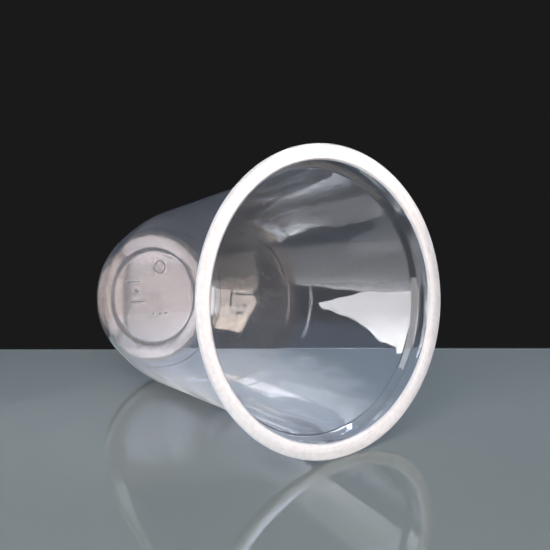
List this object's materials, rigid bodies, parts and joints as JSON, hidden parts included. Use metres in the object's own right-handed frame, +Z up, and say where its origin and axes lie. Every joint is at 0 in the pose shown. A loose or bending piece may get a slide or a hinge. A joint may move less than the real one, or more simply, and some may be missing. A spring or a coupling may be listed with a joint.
{
  "type": "plastic dessert pot",
  "caption": "Clear moulded dessert pot with a flat sealing flange, a stacking ledge below the mouth, a tapered U-shaped body and a pushed-up base.",
  "frame": {"origin": "centre of the standing ring, on the plane the pot stands on", "axes": "+Z up along the pot's axis, from the base to the mouth; +X and +Y are equal, because the pot is round"},
  "size_m": [0.095, 0.095, 0.102],
  "materials": {
    "clear_polypropylene": "clear, glossy"
  },
  "bodies": {
    "root": {"pot": "clear_polypropylene"}
  },
  "joints": []
}
